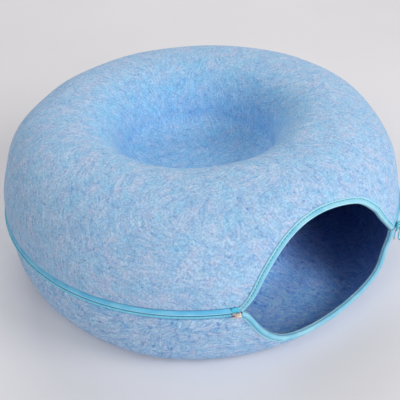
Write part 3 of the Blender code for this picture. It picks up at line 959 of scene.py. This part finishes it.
def zip_tape(name, facing, rim, felt_face, material, node, end_height):
    """The tape's visible band, from the chain to behind the felt's rim.

    It narrows to end_height at its two ends, to make room for the bindings.
    """
    start, end = zip_span()
    turns = np.linspace(start, end, TAPE_STEPS)
    from_end = np.minimum(turns - start, end - turns) * TAPE_RADIUS
    # (distance from the tape's end, its height there)
    widths = ((0, end_height), (0.0052, rim - 0.0008), (0.0075, rim - 0.0004), (0.012, TAPE_REACH))
    tall = np.interp(from_end, *zip(*widths))
    heights = TAPE_LOW + (tall[:, None] - TAPE_LOW) * TAPE_SHARES
    behind = felt_face - 0.0012
    # (height, radius), flat by the coil and then back behind the felt
    section = (
        (TAPE_LOW, TAPE_RADIUS),
        (TAPE_KNEE, TAPE_RADIUS),
        (rim * 0.55, TAPE_RADIUS - 0.0004),
        (rim - 0.0010, behind + 0.0009),
        (rim - 0.0002, behind),
        (0.0105, behind - 0.0006),
    )
    radius = np.interp(heights, *zip(*section))
    line = np.column_stack((turns * TAPE_RADIUS, np.zeros((TAPE_STEPS, 2))))
    ripple = RIPPLE * waves(line, RIPPLE_SIZE, RIPPLE_SEED + facing)[:, None]
    radius = radius + ripple * np.interp(heights, (TAPE_KNEE, rim * 0.6, rim), (0, 1, 0))
    front = around(turns[:, None], radius + TAPE / 2, SEAM_HEIGHT + facing * heights)
    rear = around(turns[:, None], radius - TAPE / 2, SEAM_HEIGHT + facing * heights)
    loops = np.concatenate((front, rear[:, ::-1]), axis=1)
    piece = add_piece(name, loops, swept(loops), material, (node,))
    both = np.concatenate((heights, heights[:, ::-1] + REAR_MAP), axis=1)
    pairs = np.stack(np.broadcast_arrays(turns[:, None] * TAPE_RADIUS, both), axis=-1)
    set_map(piece, pairs.reshape(-1, 2))
    return piece


def coil(material, start, end):
    """The closed coil: short ribs across the seam, leaning to and fro, on a narrow core."""
    ring = np.linspace(0, 2 * math.pi, RIB_SIDES, endpoint=False)
    thick = RIB_RADIUS * RIB_TAPER[:, None]
    bow = RIB_BOW * (1 - RIB_SHARES**4)
    depth = CHAIN_RADIUS + COIL_LIFT + bow[:, None] + thick * np.cos(ring)
    ribs = []
    for k in range(int((end - start) * CHAIN_RADIUS / COIL_PITCH)):
        side = 1 if k % 2 else -1
        turn = start + (k + 0.5) * COIL_PITCH / CHAIN_RADIUS
        along = RIB_LEAN * side * RIB_SHARES
        across = turn + (along[:, None] + thick * np.sin(ring)) / CHAIN_RADIUS
        up = RIB_SHARES * COIL_HALF_HEIGHT + RIB_STAGGER * side
        ribs.append(around(across, depth, SEAM_HEIGHT + up[:, None]))
    add_tubes("zip_coil", ribs, material, ("zip_chain",))


def coil_core(material, start, end):
    """A narrow band that closes the gaps between the ribs."""
    turns = np.linspace(start, end, CORE_STEPS)
    half = COIL_HALF_HEIGHT * 0.8
    section = np.array(((0, -half), (0.0005, -half), (0.0007, 0), (0.0005, half), (0, half)))
    loops = around(turns[:, None], CHAIN_RADIUS + section[:, 0], SEAM_HEIGHT + section[:, 1])
    add_piece("zip_coil_core", loops, swept(loops), material)


def bar(end, length, back, deep, low, high, soft, lean=0.0):
    """Loops of a soft-edged bar that runs round the ring and ends at a turn.

    It stands out by deep from the radius back, and reaches from low to high over the seam. soft
    is how far its edges are rounded, and lean is how far its upper side lies back.
    """
    corners = np.array(((0, 0), (1, 0), (1, 1), (0, 1)))
    size = np.array((deep, high - low))
    ring = []
    for corner, before, after in zip(corners, np.roll(corners, 1, 0), np.roll(corners, -1, 0)):
        place = corner * size
        ring.append(place + (before - corner) * soft)
        ring.append(place + (before + after - 2 * corner) * soft * BEVEL)
        ring.append(place + (after - corner) * soft)
    ring = np.array(ring)
    steps = np.array((0, soft * BEVEL, soft, length - soft, length - soft * BEVEL, length))
    inset = np.array((1, BEVEL, 0, 0, BEVEL, 1)) * soft
    middle = size / 2
    shrink = (middle - inset[:, None] * END_DRAW) / middle
    section = middle + (ring - middle) * shrink[:, None]
    turns = end - (length - steps) / CHAIN_RADIUS
    radius = back + section[..., 0] - lean * section[..., 1] / (high - low)
    return around(turns[:, None], radius, SEAM_HEIGHT + low + section[..., 1])


# ---------------------------------------------------------------- the cave

top, foot = top_meridian(), foot_meridian()
for name, meridian, cut, rim, contrast, inside, side, area, node in (
    ("upper_felt", top, ENTRANCE_TOP, TOP_RIM, 1.1, UPPER_INSIDE, 0.56, 0.246, "upper_shell"),
    ("lower_felt", foot, ENTRANCE_FOOT, FOOT_RIM, 2.1, LOWER_INSIDE, 0.58, 0.264, "lower_shell"),
):
    felt = felt_shader(name + "_fibres", contrast, inside)
    felt_shell(name, meridian, cut, rim, felt, node)

stitch_thread = plain_shader(
    "stitch_thread", colour(56, 150, 176), colour(84, 176, 198), 0.001, Roughness=0.6, relief=0.0002
)
# The lower binding's thread is painted darker than the upper's, as painted shade, and each binding
# has its own share of painted highlight and painted shadow line
upper_thread, lower_shaded_thread = colour(158, 221, 243), colour(134, 205, 235)
top_path = CutPath(top, ENTRANCE_TOP, TOP_RIM, TOP_BINDING_START)
foot_path = CutPath(foot, ENTRANCE_FOOT, FOOT_RIM, FOOT_BINDING_START)
for name, path, node, fold_highlight, crease_shadow_and_highlight, cloth_thread, seed in (
    ("upper_bound_edge", top_path, "upper_binding", 0.85, 0.0, upper_thread, 31),
    ("lower_bound_edge", foot_path, "lower_binding", 0.15, 0.5, lower_shaded_thread, 41),
):
    cloth = binding_cloth(node + "_cloth", fold_highlight, crease_shadow_and_highlight, cloth_thread)
    bound = bound_edge(name, path, cloth, node, seed)
    sewn = stitches(name + "_stitches", path, stitch_thread)

start, end = zip_span()
tape_cloths = {}
for name, facing, rim, face, node, height, groove, pale_end in (
    ("upper_tape", 1, TOP_RIM, TOP_RADIUS - FELT, "upper_zip_tape", 0.0016, 0.0011, 0.0026),
    ("lower_tape", -1, FOOT_RIM, FOOT_RADIUS - FELT, "lower_zip_tape", 0.0010, 0.0016, 0.0050),
):
    tape_cloths[name] = tape_cloth(name + "_cloth", groove, pale_end)
    tape = zip_tape(name, facing, rim, face, tape_cloths[name], node, height)

nylon = plain_shader(
    "coil_nylon", colour(112, 206, 234), colour(144, 222, 242), 0.003, Roughness=0.4, relief=0.00005
)
coil_start = math.radians(SLIDER_TURN - 90) - SLIDER_LENGTH / 2 / CHAIN_RADIUS
coil_end = end - (END_BOX_LENGTH + GAP) / CHAIN_RADIUS
coil_core(tape_cloths["upper_tape"], coil_start, coil_end)
coil(nylon, coil_start, coil_end)

brass = plain_shader(
    "rose_brass", colour(234, 216, 208), colour(196, 174, 168), 0.004, Metallic=0.6, Roughness=0.35
)
enamel = plain_shader(
    "teal_enamel", colour(52, 178, 196), colour(96, 206, 220), 0.004, Roughness=0.3
)
film = plain_shader(
    "seam_film", colour(64, 186, 226), colour(96, 206, 238), 0.003, Roughness=0.25
)

# The end box is two cheeks with a prong each, and a tongue between them. Each row is
# (how far from the zip's end, length, deep, low, high, soft).
END_BOX_BARS = (
    (0.0, 0.0068, 0.0026, -0.0008, 0.0024, 0.0005),
    (0.0, 0.0068, 0.0026, -0.0034, -0.0011, 0.0005),
    (0.0062, 0.0028, 0.0023, 0.0009, 0.0024, 0.0004),
    (0.0062, 0.0028, 0.0023, -0.0034, -0.0019, 0.0004),
    (0.0005, 0.0058, 0.0020, -0.0018, 0.0010, 0.0004),
)
end_box_loops = [
    bar(end - back_off / CHAIN_RADIUS, length, CHAIN_RADIUS, *rest)
    for back_off, length, *rest in END_BOX_BARS
]
add_tubes("end_box", end_box_loops, brass, ("zip_end_box",))

# The film patch lies on the upper tape over the end box, and leans back with the tape
film_end = end - 0.0012 / CHAIN_RADIUS
film_back = TAPE_RADIUS + TAPE / 2 - 0.0001
film_loops = bar(film_end, 0.0078, film_back, 0.0005, 0.0024, 0.0072, 0.0002, lean=0.0019)
add_tubes("end_film", [film_loops], film)

for node, material in (
    ("zip_slider", enamel),
    ("zip_pull", enamel),
    ("tail_stop", brass),
    ("tape_tail", tape_cloths["lower_tape"]),
):
    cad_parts[node].material_slots[0].material = material

# ---------------------------------------------------------------- floor, light and camera

FLOOR = ((-8, -8, 0), (8, -8, 0), (8, 8, 0), (-8, 8, 0))
VIEW_TURN = -34
WORLD_LIGHT = 0.23
LIGHT_TINT = (1.0, 0.979, 0.953)
LIGHT_DISTANCE = 2.4
LIGHTS_AIM = Vector((0, 0, 0.1))

# (azimuth and elevation in degrees, side in metres, watts)
LIGHTS = {
    "front": (-30, 35, 0.9, 23),
    "front_low": (-55, 20, 0.9, 18),
    "left": (-130, 45, 1.3, 10),
    "back": (100, 45, 1.3, 17),
    "back_left": (180, 45, 1.3, 5),
    "back_right": (60, 40, 1.3, 5),
}

# The camera before it is turned round the ring's axis: pitch, yaw and roll in degrees
CAMERA_TURNS = (-37.17, -0.12, -3.56)
CAMERA_PLACE = (-0.0003, -0.6567, 0.5517)
FOCAL_PIXELS = 600.3
PICTURE_PIXELS = 400
SENSOR_WIDTH = 36


def studio_floor():
    shader = Shader("floor", Roughness=0.9)
    mottle = shader.ranged(shader.noise(shader.position(), 0.4), 0.3, 0.7)
    pale = shader.mix(mottle, colour(226, 226, 232), colour(230, 230, 236))
    shader.link(pale, "Base Color")
    mesh = bpy.data.meshes.new("floor")
    mesh.from_pydata(FLOOR, [], [(0, 1, 2, 3)])
    mesh.materials.append(shader.material)
    return bpy.data.objects.new("floor", mesh)


def studio_world():
    world = bpy.data.worlds.new("studio")
    world.use_nodes = True
    background = world.node_tree.nodes["Background"]
    background.inputs["Color"].default_value = (*LIGHT_TINT, 1)
    background.inputs["Strength"].default_value = WORLD_LIGHT
    return world


def area_light(name, azimuth, elevation, size, power):
    """Azimuth is counted from the camera's right, and negative ones stand on its own side."""
    turn = math.radians(azimuth + VIEW_TURN)
    rise = math.radians(elevation)
    way = Vector(
        (math.cos(turn) * math.cos(rise), math.sin(turn) * math.cos(rise), math.sin(rise))
    )
    lamp = bpy.data.lights.new(name, "AREA")
    lamp.size = size
    lamp.energy = power
    lamp.color = LIGHT_TINT
    light = bpy.data.objects.new(name, lamp)
    light.location = LIGHTS_AIM + way * LIGHT_DISTANCE
    light.rotation_euler = way.to_track_quat("Z", "Y").to_euler()
    return light


def photo_camera():
    """A camera that stands and looks as the photo's did."""
    pitch, yaw, roll = (math.radians(angle) for angle in CAMERA_TURNS)
    ahead = np.array(
        (math.sin(yaw) * math.cos(pitch), math.cos(yaw) * math.cos(pitch), math.sin(pitch))
    )
    level = np.array((math.cos(yaw), -math.sin(yaw), 0.0))
    upright = np.cross(level, ahead)
    right = level * math.cos(roll) + upright * math.sin(roll)
    up = upright * math.cos(roll) - level * math.sin(roll)
    looking = Matrix.Identity(4)
    for column, way in enumerate((right, up, -ahead)):
        for row in range(3):
            looking[row][column] = way[row]
    looking.translation = CAMERA_PLACE
    lens = bpy.data.cameras.new("camera")
    lens.sensor_width = SENSOR_WIDTH
    lens.sensor_fit = "HORIZONTAL"
    lens.lens = FOCAL_PIXELS / PICTURE_PIXELS * SENSOR_WIDTH
    lens.clip_start, lens.clip_end = 0.02, 40
    camera = bpy.data.objects.new("camera", lens)
    round_axis = Matrix.Rotation(math.radians(VIEW_TURN), 4, "Z")
    camera.matrix_world = Matrix.Translation((0, RING_AXIS_Y, 0)) @ round_axis @ looking
    return camera


scene = bpy.context.scene
floor = studio_floor()
scene.collection.objects.link(floor)
scene.world = studio_world()
for name, (azimuth, elevation, size, power) in LIGHTS.items():
    scene.collection.objects.link(area_light(name, azimuth, elevation, size, power))
camera = photo_camera()
scene.collection.objects.link(camera)
bpy.context.scene.camera = camera
scene.view_settings.view_transform = "Standard"
